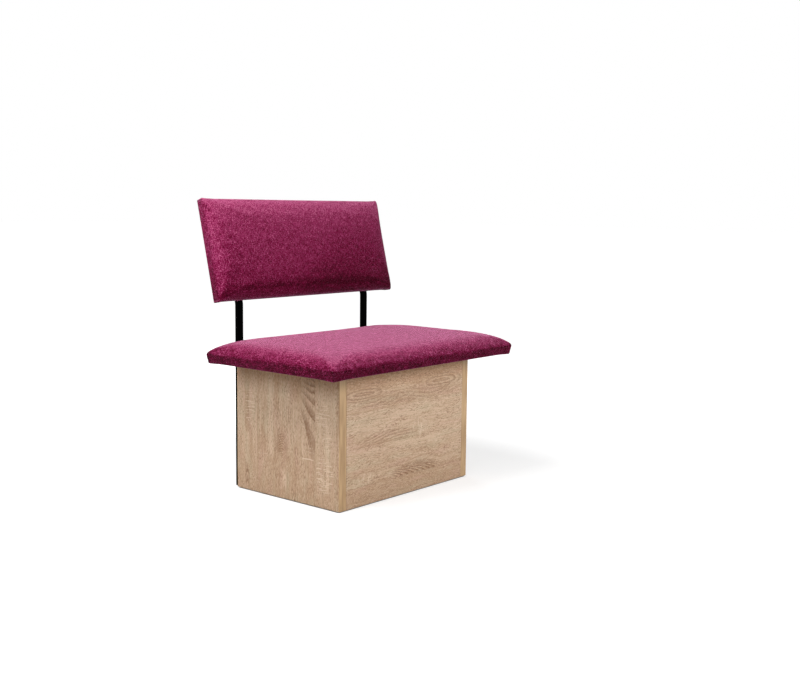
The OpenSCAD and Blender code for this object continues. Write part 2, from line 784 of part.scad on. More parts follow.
placed() side_panel(LEFT);  // side_panel_left
placed() side_panel(RIGHT);  // side_panel_right
placed() front_panel();
placed() rear_panel();
placed() front_edge_band(LEFT);  // front_edge_band_left
placed() front_edge_band(RIGHT);  // front_edge_band_right
placed() rear_edge_band(LEFT);  // rear_edge_band_left
placed() rear_edge_band(RIGHT);  // rear_edge_band_right
placed() seat_batten(LEFT);  // seat_batten_left
placed() seat_batten(RIGHT);  // seat_batten_right
placed() joint_dowels();
placed() cam_bolts();
placed() cam_locks();
placed() batten_screws();
placed() seat_screws();
placed() floor_glides();
placed() glide_nails();
seat_board();
seat_foam();
seat_cover();
seat_lining();
back_board();
back_foam();
back_cover();
back_lining();
placed() post(LEFT);  // post_left
placed() post(RIGHT);  // post_right
placed() post_foot_plugs();
placed() post_top_plugs();
placed() base_inserts();
placed() base_bolts();
placed() base_bolt_washers();
placed() back_inserts();
placed() back_bolts();
placed() back_bolt_washers();
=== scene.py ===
"""A bench with a backrest: an oak-print box base, upholstered seat and backrest, black steel uprights.

Metres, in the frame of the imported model: +Z up, +Y to the back, +X to the right of someone
who looks at the front, with the origin on the floor below the middle of the bench.
"""
import math
from collections import namedtuple

import bpy
import numpy as np
from mathutils import Matrix, Vector, kdtree, noise


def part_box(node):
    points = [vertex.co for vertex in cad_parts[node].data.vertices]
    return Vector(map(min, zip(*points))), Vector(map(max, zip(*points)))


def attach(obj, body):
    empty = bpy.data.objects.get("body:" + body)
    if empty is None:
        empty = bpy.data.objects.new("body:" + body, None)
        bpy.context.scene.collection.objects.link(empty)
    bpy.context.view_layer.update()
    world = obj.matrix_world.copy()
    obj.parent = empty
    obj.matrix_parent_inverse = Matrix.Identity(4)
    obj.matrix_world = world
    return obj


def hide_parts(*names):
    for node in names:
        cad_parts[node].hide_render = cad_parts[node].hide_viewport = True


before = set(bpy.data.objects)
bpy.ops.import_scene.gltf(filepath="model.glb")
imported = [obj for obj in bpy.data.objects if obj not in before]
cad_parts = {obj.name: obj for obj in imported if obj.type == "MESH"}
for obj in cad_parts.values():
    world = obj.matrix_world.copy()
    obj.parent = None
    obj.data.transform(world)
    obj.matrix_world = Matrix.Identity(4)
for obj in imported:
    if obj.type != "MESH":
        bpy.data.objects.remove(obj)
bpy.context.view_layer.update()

MM = 0.001
BODY = "root"

# Base
BASE_LOW, BASE_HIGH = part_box("side_panel_left")[0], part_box("side_panel_right")[1]
BAND_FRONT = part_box("front_edge_band_left")[0].y
BAND_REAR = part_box("rear_edge_band_left")[1].y
BASE_TOP = BASE_HIGH.z

# Uprights
POST_LOW, POST_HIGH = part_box("post_right")
POST_X = (POST_LOW.x + POST_HIGH.x) / 2
POST_HALF = (POST_HIGH.x - POST_LOW.x) / 2
BEND_HEIGHT = 547 * MM
LEAN = math.radians(13.6)


def srgb(red, green, blue):
    """A colour as it is seen in a picture, 0 to 255, turned into the shader's own scale."""
    def linear(value):
        value /= 255
        return value / 12.92 if value <= 0.04045 else ((value + 0.055) / 1.055) ** 2.4
    return (linear(red), linear(green), linear(blue), 1)


# A mix node's sockets when it mixes colours: its share, the two colours, and its result
MIX_INPUTS, MIX_OUTPUT = (0, 6, 7), 2


class Wire:
    """A shader node's output. Arithmetic on it adds math nodes to its tree."""

    def __init__(self, tree, socket):
        self.tree, self.socket = tree, socket

    def __add__(self, other):
        return self.tree.math("ADD", self, other)

    def __sub__(self, other):
        return self.tree.math("SUBTRACT", self, other)

    def __rsub__(self, other):
        return self.tree.math("SUBTRACT", other, self)

    def __mul__(self, other):
        return self.tree.math("MULTIPLY", self, other)

    def __truediv__(self, other):
        return self.tree.math("DIVIDE", self, other)

    __radd__, __rmul__ = __add__, __mul__


class Tree:
    """A material, or the world, under construction."""

    def __init__(self, name, kind=bpy.data.materials):
        self.made = kind.new(name)
        self.made.use_nodes = True
        self.nodes, self.links = self.made.node_tree.nodes, self.made.node_tree.links
        self.nodes.clear()

    def node(self, kind, inputs=(), **settings):
        """Adds a node. inputs are (socket name or number, value or wire) pairs."""
        made = self.nodes.new("ShaderNode" + kind)
        for name, value in settings.items():
            setattr(made, name, value)
        for socket, value in inputs:
            self.put(made.inputs[socket], value)
        return made

    def put(self, socket, value):
        if isinstance(value, Wire):
            self.links.new(value.socket, socket)
        else:
            socket.default_value = value

    def wire(self, kind, inputs=(), **settings):
        """Adds a node and gives its first output."""
        return Wire(self, self.node(kind, inputs, **settings).outputs[0])

    def math(self, operation, *values):
        return self.wire("Math", enumerate(values), operation=operation)

    def split(self, kind, output, **settings):
        """The three parts of a vector that a new node gives."""
        vector = Wire(self, self.node(kind, **settings).outputs[output])
        return [Wire(self, part) for part in self.node("SeparateXYZ", [(0, vector)]).outputs]

    def place(self):
        """The point's x, y and z in the frame."""
        return self.split("TexCoord", "Object")

    def sized(self, *sizes):
        """The point's place over sizes in millimetres: one for each axis, or one for them all."""
        if len(sizes) == 1:
            sizes *= 3
        return [part / (size * MM) for part, size in zip(self.place(), sizes)]

    def attribute(self, name):
        """The parts of a vector that the mesh carries at each point."""
        return self.split("Attribute", "Vector", attribute_name=name)

    def facing(self, axis):
        """How far the surface faces along an axis, from -1 to 1."""
        return self.split("TexCoord", "Normal")[axis]

    def point(self, *parts):
        return self.wire("CombineXYZ", enumerate(parts))

    def noise(self, *parts, detail=2.0, rough=0.5, distort=0.0):
        """Smooth noise, about 0 to 1, with features of about 1 in the units of its parts."""
        return self.wire("TexNoise", [("Vector", self.point(*parts)), ("Scale", 1.0), ("Detail", detail),
                                      ("Roughness", rough), ("Distortion", distort)])

    def cells(self, *parts, output="Distance", randomness=1.0):
        """Cells of about 1 in the units of its parts: the distance from each one's middle, or its colour."""
        made = self.node("TexVoronoi", [("Vector", self.point(*parts)), ("Scale", 1.0),
                                        ("Randomness", randomness)])
        return Wire(self, made.outputs[output])

    def ramp(self, value, low, high):
        """0 below low, 1 above high, and a smooth rise between. It falls where low is above high."""
        return self.wire("MapRange", [("Value", value), ("From Min", low), ("From Max", high)],
                         interpolation_type="SMOOTHSTEP")

    def path(self, value, stops, kind="LINEAR"):
        """A colour that changes evenly from stop to stop or, where kind is CONSTANT, at each stop.
        Each stop is (value, colour)."""
        low, high = stops[0][0], stops[-1][0]
        made = self.node("ValToRGB", [(0, (value - low) / (high - low))])
        made.color_ramp.interpolation = kind
        points = made.color_ramp.elements
        points[0].color, points[1].color = stops[0][1], stops[-1][1]
        for place, colour in stops[1:-1]:
            points.new((place - low) / (high - low)).color = colour
        return Wire(self, made.outputs[0])

    def curve(self, value, stops, kind="LINEAR"):
        """A level that changes in the same way. Each stop is (value, level)."""
        return self.path(value, [(place, (level,) * 3 + (1,)) for place, level in stops], kind)

    def blend(self, share, first, second):
        """The first colour where share is 0, and the second where it is 1."""
        made = self.node("Mix", data_type="RGBA")
        for number, value in zip(MIX_INPUTS, (share, first, second)):
            self.put(made.inputs[number], value)
        return Wire(self, made.outputs[MIX_OUTPUT])

    def surface(self, colour, height, depth, **constants):
        """Ends the material in a Principled surface. Underscores in the constants' names are spaces."""
        bump = self.wire("Bump", [("Height", height), ("Strength", 1.0), ("Distance", depth)])
        sockets = [(name.replace("_", " "), value) for name, value in constants.items()]
        return self.end(self.wire("BsdfPrincipled", [("Base Color", colour), ("Normal", bump), *sockets]))

    def end(self, shader, output="OutputMaterial"):
        """Makes a shader the tree's result."""
        self.node(output, [(0, shader)])
        return self.made


def patch(tree, a, b, centre_a, centre_b, half_a, half_b, soft=0.6):
    """1 inside an oval on the (a, b) plane, and 0 outside it."""
    da = (a - centre_a) / half_a
    db = (b - centre_b) / half_b
    return tree.ramp(da * da + db * db, 1.0, 1.0 - soft)


def stripe(tree, value, place, half):
    """1 near the place, falling to 0 at half the stripe's width from it."""
    return tree.ramp(tree.math("ABSOLUTE", value - place), half, half * 0.4)


# Oak print. All its places are in millimetres: across the grain, and along it.
OAK_LIGHT = srgb(212, 184, 156)
OAK_MID = srgb(184, 151, 121)
OAK_PINK = srgb(202, 164, 142)
OAK_PALE = srgb(198, 180, 150)
# The next colour is painted shadow, dark and warm, for just below the seat
OAK_SEAT_SHADOW = srgb(184, 130, 80)
OAK_DARK = srgb(136, 98, 68)
OAK_PORE = srgb(136, 98, 70)
OAK_SAWN = srgb(224, 202, 176)
CHIP_LIGHT = srgb(206, 180, 140)
CHIP_DARK = srgb(142, 108, 72)

# Noises of the print: their size across and along the grain
DRIFT, WAVER, BEND, CLOUD = (60, 170), (9, 26), (24, 60), (45, 90)
FINE, FIBRE, BROAD, HUE = (1.5, 30), (3.4, 70), (13, 260), (24, 120)
DASH, CROWD, BROKEN = (1.5, 7.5), (10, 70), (8, 5)
# How far lines wander with them
DRIFT_REACH, WAVER_REACH, BEND_REACH = 14, 5, 14
# How strongly they shade the boards
FINE_SHADE, FIBRE_SHADE, BROAD_SHADE, CLOUD_SHADE = 1.8, 1.4, 1.0, 0.4
# Painted shade towards the floor, and a warm painted shadow just below the seat: where on the way down, and
# how much
PAINTED_LOW_SHADE_ZONE, PAINTED_LOW_SHADE = (150, 380), 0.35
SEAT_SHADOW_ZONE, SEAT_SHADOW_SHARE = (80, 15), 0.6
# Parts of the hue noise that turn pink and pale, and how much
PINK_ZONE, PINK_SHARE = (0.52, 0.72), 0.5
PALE_ZONE, PALE_SHARE = (0.48, 0.28), 0.45
# Faint rings all over the boards: their width, where the broad noise lets them show, and their strength
QUIET_RING, QUIET_ZONE, QUIET_SHARE = 9, (0.42, 0.66), 0.28
# Pores are short dark dashes that lean a little, with light glints between them
PORE_LEAN, PORE_ZONE, PORE_SHARE = 0.10, (0.545, 0.63), 0.85
CROWD_ZONE, GLINT_ZONE, GLINT_SHARE = (0.28, 0.62), (0.43, 0.36), 0.46
# Saw marks: the distance between the strokes, their length, lean and unevenness, and their largest share
SAW_STEP, SAW_LENGTH, SAW_LEAN, SAW_UNEVEN, SAW_MOST = 3.4, 40, 0.06, 5, 0.85
SAW_ZONE, BROKEN_ZONE = (0.53, 0.68), (0.30, 0.52)
# Seams between the boards, how far past its ends a streak fades, and the print's relief
SEAM_HALF, SEAM_SHARE = 0.7, 0.3
STREAK_END = 20
PRINT_DEPTH = 0.06 * MM

# Rings in the grain: what draws them, the oval that holds them as (place across, place along, half width,
# half length), their strength, and the seams that they lie between
Figure = namedtuple("Figure", "rings oval strength between")


def chipboard_colour(tree):
    chips = tree.cells(*tree.sized(3, 3, 1.2), output="Color")
    shade = tree.noise(*tree.sized(6), detail=3)
    tone = tree.wire("SeparateColor", [(0, chips)])
    return tree.blend(tone * 0.7 + shade * 0.3, CHIP_DARK, CHIP_LIGHT)


def late_wood(tree, rings):
    """Each ring darkens towards its outer edge and starts again light."""
    part = tree.math("FRACT", rings)
    return tree.ramp(part, 0.15, 0.9) * tree.ramp(part, 1.0, 0.93)


def flame(middle, decay, reach, spacing, shift=0.0, foot=None):
    """Pointed arches round a line along the grain, close together at one end and wide at the other.
    They point the other way, from the foot, where that is given."""
    def rings(tree, a, l):
        off = a - middle
        taper = tree.math("EXPONENT", (0 - (l if foot is None else foot - l)) / decay)
        return (off * off - taper * reach) / spacing + shift
    return rings


def eyes(middle, first, apart, narrow, spacing, shift=0.0):
    """Long closed rings side by side along the grain."""
    def rings(tree, a, l):
        off = a - middle
        wave = tree.math("SINE", (l - first) * (math.pi / apart))
        square = wave * wave
        return tree.math("SQRT", off * off + square * square * narrow) / spacing + shift
    return rings


def sweep(middle, first, swing, length, lean, spacing):
    """Lines along the grain that lean, and swing from side to side."""
    def rings(tree, a, l):
        past = l - first
        wave = tree.math("COSINE", past * (2 * math.pi / length)) * swing
        return (a + past * lean - middle - wave) / spacing
    return rings


def arches(middle, curve, spacing, turned=False):
    """Rounded arches that point along the grain or, turned, across it."""
    def rings(tree, a, l):
        if turned:
            a, l = l, a
        off = a - middle
        return (l - off * off * curve) / spacing
    return rings


def oak(name, across, along, seams, tones, figures, sawn, streaks, cracks=(), seed=0.0):
    """Oak-print laminate of boards side by side.

    across and along turn a tree's x, y and z into places on the panel. seams are where the boards
    join, from one side of the panel to the other, and tones are the boards' shades. figures are its
    rings. Each patch of saw marks in sawn is (place across, place along, half width, half length,
    strength), each of the dark or, below zero, light streaks is (place across, from, to, half width,
    strength), and each of the cracks is (place across, place along, half width).
    """
    tree = Tree(name)
    place = tree.place()
    a, l = across(*place), along(*place)
    board = tree.curve(a, list(zip(seams, (*tones, tones[-1]))), "CONSTANT")
    start = board * 37.0 + seed

    def grain_noise(at, size, number, **settings):
        """Noise of a size along the boards. Each has its number, so that no two are alike."""
        return tree.noise(at / size[0], l / size[1], start + number, **settings)

    drift = (grain_noise(a, DRIFT, 0, detail=1) - 0.5) * DRIFT_REACH
    waver = (grain_noise(a, WAVER, 1) - 0.5) * WAVER_REACH
    grain = a + drift
    fine = grain_noise(grain, FINE, 0, rough=0.6)
    fibre = grain_noise(grain, FIBRE, 2, rough=0.6)
    broad = grain_noise(grain, BROAD, 3)
    cloud = grain_noise(a, CLOUD, 4, detail=1)

    # The last term is painted shade, darker towards the floor
    shade = (fine - 0.5) * FINE_SHADE + (fibre - 0.5) * FIBRE_SHADE + (broad - 0.5) * BROAD_SHADE \
        + (cloud - 0.5) * CLOUD_SHADE + board - tree.ramp(down(*place), *PAINTED_LOW_SHADE_ZONE) * PAINTED_LOW_SHADE
    for middle, first, last, half, strength in streaks:
        line = stripe(tree, grain, middle, half) * tree.ramp(l, first - STREAK_END, first + STREAK_END) \
            * tree.ramp(l, last + STREAK_END, last - STREAK_END)
        shade = shade - line * strength * (0.85 + fibre * 0.8)
    colour = tree.blend(tree.ramp(shade, 0.0, 1.0), OAK_MID, OAK_LIGHT)
    hue = grain_noise(grain, HUE, 9)
    colour = tree.blend(tree.ramp(hue, *PINK_ZONE) * PINK_SHARE, colour, OAK_PINK)
    colour = tree.blend(tree.ramp(hue, *PALE_ZONE) * PALE_SHARE, colour, OAK_PALE)
    # Painted shadow, dark and warm, just below the seat's overhang
    colour = tree.blend(tree.ramp(down(*place), *SEAT_SHADOW_ZONE) * SEAT_SHADOW_SHARE, colour, OAK_SEAT_SHADOW)

    dark = late_wood(tree, grain / QUIET_RING + cloud * 5.0) * tree.ramp(broad, *QUIET_ZONE) * QUIET_SHARE
    bend = (grain_noise(a, BEND, 10) - 0.5) * BEND_REACH
    for rings, oval, strength, (low, high) in figures:
        pattern = late_wood(tree, rings(tree, a + waver * 0.6 + bend * 0.4, l + waver * 1.6 + bend * 1.4))
        area = patch(tree, a, l, *oval, soft=0.8)
        inside = tree.ramp(a, low, low + 0.8) * tree.ramp(a, high, high - 0.8)
        dark = dark + pattern * area * inside * (strength * (0.6 + fibre * 0.8))
    colour = tree.blend(tree.math("MINIMUM", dark, 1.0), colour, OAK_DARK)

    dash = grain_noise(a + l * PORE_LEAN, DASH, 5, rough=0.55)
    crowd = grain_noise(a, CROWD, 6, detail=1)
    pores = tree.ramp(dash, *PORE_ZONE) * (tree.ramp(crowd, *CROWD_ZONE) * 0.8 + 0.2)
    glints = tree.ramp(dash, *GLINT_ZONE)
    colour = tree.blend(pores * PORE_SHARE, colour, OAK_PORE)
    colour = tree.blend(glints * GLINT_SHARE, colour, OAK_SAWN)

    broken = grain_noise(a, BROKEN, 7, detail=1)
    teeth = l + a * SAW_LEAN + (broken - 0.5) * SAW_UNEVEN
    blade = tree.noise(a / SAW_LENGTH, teeth / SAW_STEP, start + 8, detail=0) \
        + tree.math("SINE", teeth * 1.14) * 0.1
    cuts = tree.ramp(blade, *SAW_ZONE) * tree.ramp(broken, *BROKEN_ZONE)
    marked = 0.0
    for *oval, strength in sawn:
        marked = marked + patch(tree, a, l, *oval) * strength
    scratch = cuts * marked
    for place_a, place_l, half in cracks:
        line = stripe(tree, l + (broken - 0.5) * 3, place_l, 1.6)
        scratch = scratch + stripe(tree, a, place_a, half) * line
    colour = tree.blend(tree.math("MINIMUM", scratch, SAW_MOST), colour, OAK_SAWN)

    for seam in seams[1:-1]:
        colour = tree.blend(stripe(tree, a, seam, SEAM_HALF) * SEAM_SHARE, colour, OAK_DARK)

    raw = tree.ramp(tree.math("ABSOLUTE", tree.facing(2)), 0.7, 0.9)
    colour = tree.blend(raw, colour, chipboard_colour(tree))
    height = 1 - pores * 0.8 + scratch * 0.4 + fine * 0.3
    return tree.surface(colour, height, PRINT_DEPTH, Roughness=0.55, Specular_IOR_Level=0.35)


def edge_band():
    """Plastic band printed with plain straight oak grain."""
    tree = Tree("edge_band")
    streak = tree.noise(*tree.sized(1.6, 1.6, 120), detail=3, rough=0.6)
    broad = tree.noise(*tree.sized(9, 9, 70), detail=1)
    shade = tree.ramp(streak * 0.6 + broad * 0.4, 0.32, 0.68)
    colour = tree.blend(shade, srgb(166, 132, 94), srgb(202, 168, 126))
    return tree.surface(colour, streak, 0.04 * MM, Roughness=0.45, Specular_IOR_Level=0.4)


# Cloth: its colours from the shade between the threads to the tips of the pile, and from painted shade to
# painted light
PILE_AND_PAINTED_LIGHT = [(0.0, srgb(44, 0, 12)), (0.28, srgb(80, 0, 26)), (0.38, srgb(92, 4, 40)), (0.59, srgb(117, 18, 62)),
        (0.75, srgb(136, 40, 82)), (1.0, srgb(160, 70, 108)), (1.3, srgb(186, 102, 136))]
# Painted light and shade: how light the cloth is made as it turns from facing down (-1) to facing up (1), on
# each cushion
SEAT_PAINTED_LIGHT = [(-1.0, 0.4), (-0.3, 0.3), (-0.1, 0.2), (0.05, 0.32), (0.3, 0.45), (0.7, 0.55), (1.0, 0.89)]
BACK_PAINTED_LIGHT = [(-1.0, 0.4), (-0.22, 0.4), (-0.1, 0.18), (0.05, 0.28), (0.25, 0.58), (0.38, 0.78), (1.0, 0.88)]
# Noises in the pile: size across and along the cloth, detail, roughness, number, and strength on the seat and
# on the backrest. They are the threads both ways, the tufts, clumps of tufts, and strokes of the hand.
PILE_LAYERS = [
    (9 * MM, 2.2 * MM, 2, 0.65, 0, 1.0, 1.0),
    (2.4 * MM, 12 * MM, 2, 0.65, 4, 1.5, 1.5),
    (2.5 * MM, 2.5 * MM, 2, 0.75, 2, 2.8, 2.8),
    (6 * MM, 7 * MM, 2, 0.6, 6, 0.9, 0.5),
    (20 * MM, 18 * MM, 3, 0.6, 8, 1.0, 0.6),
]
PILE_DEPTH = 0.6 * MM
# How much stronger the pile is on the seat's top, and how much painted light lightens the backrest's left and
# right slopes
TOP_EXTRA, SLOPE_PAINTED_LIGHT = 0.5, 0.28
# Painted shade towards the backrest's lower right: an oval on the cloth where it is darker, and how much
PAINTED_SHADE_OVAL, PAINTED_SHADE_AMOUNT = (230 * MM, 20 * MM, 340 * MM, 220 * MM), 0.19


def velvet():
    """Chenille velvet: short pile in uneven threads both ways, with a bright sheen along its edges. Painted
    light and shade in its colour make it lighter where it faces up and on the backrest's side slopes, and
    darker where it faces down and towards the backrest's lower right.
    """
    tree = Tree("velvet")
    u, v, w = tree.attribute("weave")
    between = (SEAT.seed + BACKREST.seed) / 2
    on_back = tree.ramp(w, between - 1, between + 1)
    pile = 0.0
    for size_u, size_v, detail, rough, number, on_seat, on_backrest in PILE_LAYERS:
        layer = tree.noise(u / size_u, v / size_v, w + number, detail=detail, rough=rough)
        pile = (layer - 0.5) * (on_back * (on_backrest - on_seat) + on_seat) + pile
    up = tree.facing(2)
    pile = pile * (tree.ramp(up, 0.85, 1.0) * (1 - on_back) * TOP_EXTRA + 1)
    # Painted light and shade: lighter where the cloth faces up towards the lamps, darker where it faces down
    seat_painted_light, back_painted_light = tree.curve(up, SEAT_PAINTED_LIGHT), tree.curve(up, BACK_PAINTED_LIGHT)
    # Painted light on the backrest's left and right slopes, above its lowest part
    slope = tree.ramp(tree.math("ABSOLUTE", tree.facing(0)), 0.1, 0.9) * tree.ramp(v, 0.0, 170 * MM)
    # Painted shade in an oval towards the backrest's lower right
    flat = patch(tree, u, v, *PAINTED_SHADE_OVAL, soft=1.0)
    light_and_shade = seat_painted_light + (back_painted_light - seat_painted_light + slope * SLOPE_PAINTED_LIGHT - flat * PAINTED_SHADE_AMOUNT) * on_back
    return tree.surface(tree.path(light_and_shade + pile, PILE_AND_PAINTED_LIGHT), pile, PILE_DEPTH, Roughness=0.9, Specular_IOR_Level=0.05,
                        Sheen_Weight=0.74, Sheen_Roughness=0.25, Sheen_Tint=srgb(255, 166, 211))


def lining():
    """Black spun-bonded lining with its grid of pressed dots."""
    tree = Tree("lining")
    dots = tree.cells(*tree.sized(1.5), randomness=0.1)
    fibre = tree.noise(*tree.sized(2.4), detail=4, rough=0.7)
    colour = tree.blend(tree.ramp(fibre, 0.35, 0.65), srgb(20, 20, 21), srgb(46, 46, 48))
    return tree.surface(colour, tree.ramp(dots, 0.2, 0.5) + fibre * 0.5, 0.12 * MM, Roughness=0.85)


def black_steel():
    """Powder coat: fine orange peel, with a few brighter grains."""
    tree = Tree("black_steel")
    peel = tree.noise(*tree.sized(1.4))
    colour = tree.blend(tree.ramp(peel, 0.45, 0.75), srgb(1, 1, 1), srgb(4, 4, 4))
    return tree.surface(colour, peel, 0.05 * MM, Roughness=0.7, Specular_IOR_Level=0.01)


def moulded(name, dark, light):
    """Moulded plastic with a fine matt grain."""
    tree = Tree(name)
    grain = tree.noise(*tree.sized(0.7))
    colour = tree.blend(tree.ramp(grain, 0.35, 0.65), dark, light)
    return tree.surface(colour, grain, 0.03 * MM, Roughness=0.5, Specular_IOR_Level=0.4)


def zinc():
    """Zinc-plated steel: cool and warm patches and fine turning lines."""
    tree = Tree("zinc")
    patches = tree.noise(*tree.sized(4))
    lines = tree.noise(*tree.sized(0.4), detail=1)
    colour = tree.blend(tree.ramp(patches, 0.4, 0.65), srgb(186, 190, 196), srgb(206, 200, 184))
    return tree.surface(colour, lines, 0.02 * MM, Metallic=1.0, Roughness=0.34)


def plain_wood(name, along_axis, light, dark, ring, pore):
    """Unfinished wood with straight grain along one axis. ring and pore are in millimetres."""
    tree = Tree(name)
    rings, pores = [ring] * 3, [pore] * 3
    rings[along_axis] *= 30
    pores[along_axis] *= 18
    lines = tree.noise(*tree.sized(*rings), detail=3, distort=0.3)
    fibre = tree.noise(*tree.sized(*pores))
    colour = tree.blend(tree.ramp(lines * 0.6 + fibre * 0.4, 0.35, 0.65), dark, light)
    return tree.surface(colour, fibre, 0.08 * MM, Roughness=0.7)


def chipboard():
    tree = Tree("chipboard")
    grit = tree.noise(*tree.sized(1.5), detail=3)
    return tree.surface(chipboard_colour(tree), grit, 0.15 * MM, Roughness=0.85)


def foam():
    """Cream polyurethane foam with open cells."""
    tree = Tree("foam")
    cells = tree.cells(*tree.sized(1.4))
    colour = tree.blend(tree.ramp(cells, 0.1, 0.6), srgb(232, 222, 190), srgb(246, 240, 216))
    return tree.surface(colour, cells, 0.3 * MM, Roughness=0.95)


# Places on the panels: across or along each one from its left or rear edge, and down from its top
def from_rear(x, y, z):
    return (BAND_REAR - y) / MM


def from_left(x, y, z):
    return (x - BASE_LOW.x) / MM


def down(x, y, z):
    return (BASE_TOP - z) / MM


def left_panel():
    seams = (-5, 88, 154, 322.5, 403, 420)
    tones = (0.62, 0.52, 0.50, 0.62, 0.42)
    figures = [
        Figure(flame(middle=336, decay=70, reach=26800, spacing=3300, shift=0.9),
               oval=(322, 120, 66, 150), strength=0.9, between=(154, 322.5)),
        Figure(arches(middle=190, curve=0.05, spacing=7.5),
               oval=(184, 222, 32, 44), strength=0.75, between=(154, 322.5)),
        Figure(arches(middle=44, curve=0.35, spacing=30),
               oval=(44, 342, 13, 46), strength=0.75, between=(-5, 88)),
    ]
    sawn = [
        (57, 135, 26, 60, 0.8), (352, 125, 34, 44, 0.7), (367, 192, 20, 38, 0.95), (358, 290, 40, 60, 0.8),
        (300, 228, 16, 14, 0.6), (70, 335, 18, 12, 0.4), (95, 352, 20, 10, 0.35), (108, 262, 30, 8, 0.3),
    ]
    streaks = [
        (43, 20, 200, 12, 0.75), (58, 190, 330, 7, 0.4), (92, -40, 400, 5, 0.3), (112, 170, 260, 12, 0.35),
        (142, 20, 260, 12, -0.5), (168, 20, 130, 14, 0.6), (245, 20, 90, 26, 0.6), (190, 200, 250, 26, 0.3),
        (244, 225, 330, 5, 0.55), (200, 300, 350, 12, -0.5), (280, 100, 240, 8, -0.35),
        (296, 258, 420, 3, 0.6), (306, 258, 420, 2, 0.6), (317, 258, 420, 4, 0.8), (160, 260, 400, 6, 0.5),
        (370, 150, 330, 7, -0.6), (409, -40, 420, 2, 0.6),
    ]
    cracks = [(293, 253, 30)]
    return oak("oak_left", from_rear, down, seams, tones, figures, sawn, streaks, cracks, seed=1.0)


def front_panel():
    seams = (-5, 117, 217, 328, 390)
    tones = (0.44, 0.66, 0.66, 0.40)
    figures = [
        Figure(eyes(middle=67, first=98, apart=342, narrow=1150, spacing=8.3, shift=0.35),
               oval=(67, 98, 26, 110), strength=0.62, between=(-5, 118)),
        Figure(eyes(middle=65, first=98, apart=342, narrow=1150, spacing=8.3, shift=0.35),
               oval=(65, 450, 26, 120), strength=0.62, between=(-5, 118)),
        Figure(sweep(middle=98, first=130, swing=10, length=270, lean=0.03, spacing=11),
               oval=(92, 300, 24, 300), strength=0.44, between=(-5, 118)),
        Figure(arches(middle=280, curve=0.00075, spacing=9, turned=True),
               oval=(200, 200, 22, 150), strength=0.55, between=(117, 217)),
        Figure(arches(middle=332, curve=-0.11, spacing=25),
               oval=(318, 325, 30, 125), strength=1.0, between=(217, 328)),
        Figure(arches(middle=110, curve=0.02, spacing=9, turned=True),
               oval=(360, 105, 18, 26), strength=0.3, between=(328, 390)),
    ]
    sawn = [(192, 345, 30, 40, 0.85), (305, 105, 18, 42, 0.6), (100, 60, 8, 30, 0.3)]
    streaks = [
        (214, 60, 300, 3, 0.5), (324, 130, 560, 5, 0.5), (203, 312, 345, 16, 0.35), (60, 310, 340, 4, 0.7),
        (322, 365, 395, 7, 0.7), (140, 220, 360, 14, -0.3), (20, 60, 460, 8, 0.35),
        (236, 230, 450, 14, -0.35),
    ]
    return oak("oak_front", down, from_left, seams, tones, figures, sawn, streaks, seed=7.0)


def right_panel():
    seams = (-5, 14, 96, 262, 330, 420)
    tones = (0.45, 0.60, 0.48, 0.66, 0.54)
    figures = [
        Figure(flame(middle=180, decay=90, reach=26000, spacing=2600, foot=385),
               oval=(180, 230, 80, 190), strength=0.8, between=(96, 262)),
        Figure(arches(middle=370, curve=0.03, spacing=14),
               oval=(372, 130, 40, 90), strength=0.35, between=(330, 420)),
    ]
    sawn = [(60, 220, 26, 60, 0.75), (296, 110, 26, 46, 0.7), (375, 300, 26, 40, 0.6)]
    streaks = [(40, -40, 260, 10, 0.4), (300, 200, 420, 7, 0.4), (345, -40, 420, 5, 0.35)]
    return oak("oak_right", from_rear, down, seams, tones, figures, sawn, streaks, seed=21.0)


def rear_panel():
    seams = (-5, 72, 190, 292, 390)
    tones = (0.60, 0.44, 0.64, 0.50)
    figures = [
        Figure(eyes(middle=132, first=200, apart=330, narrow=1400, spacing=8),
               oval=(132, 330, 52, 260), strength=0.55, between=(72, 190)),
        Figure(flame(middle=292, decay=170, reach=15000, spacing=700),
               oval=(268, 260, 34, 220), strength=0.85, between=(190, 292)),
    ]
    sawn = [(236, 430, 24, 50, 0.8), (340, 150, 22, 50, 0.6), (36, 300, 20, 40, 0.5)]
    streaks = [(30, 80, 480, 5, 0.35), (330, 200, 520, 6, 0.35)]
    return oak("oak_rear", down, from_left, seams, tones, figures, sawn, streaks, seed=33.0)


def dress(material, *nodes):
    """Gives CAD nodes their material."""
    for node in nodes:
        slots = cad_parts[node].data.materials
        slots.clear()
        slots.append(material)


def dress_nodes():
    dress(left_panel(), "side_panel_left")
    dress(right_panel(), "side_panel_right")
    dress(front_panel(), "front_panel")
    dress(rear_panel(), "rear_panel")
    dress(edge_band(), "front_edge_band_left", "front_edge_band_right", "rear_edge_band_left",
          "rear_edge_band_right")
    dress(plain_wood("pine", 1, srgb(230, 202, 156), srgb(196, 156, 104), 5, 1),
          "seat_batten_left", "seat_batten_right")
    dress(plain_wood("beech", 0, srgb(216, 178, 134), srgb(186, 142, 98), 3, 0.6), "joint_dowels")
    dress(plain_wood("plywood", 0, srgb(220, 190, 142), srgb(190, 152, 104), 6, 1), "back_board")
    dress(chipboard(), "seat_board")
    dress(zinc(), "cam_bolts", "cam_locks", "batten_screws", "seat_screws", "glide_nails", "base_inserts",
          "base_bolt_washers", "back_inserts", "back_bolt_washers")
    dress(black_steel(), "post_left", "post_right", "base_bolts", "back_bolts")
    dress(moulded("black_plastic", srgb(12, 12, 13), srgb(26, 26, 27)), "post_foot_plugs", "post_top_plugs")
    dress(moulded("glide_plastic", srgb(70, 68, 66), srgb(96, 93, 90)), "floor_glides")
    dress(lining(), "seat_lining", "back_lining")
    dress(foam(), "seat_foam", "back_foam")


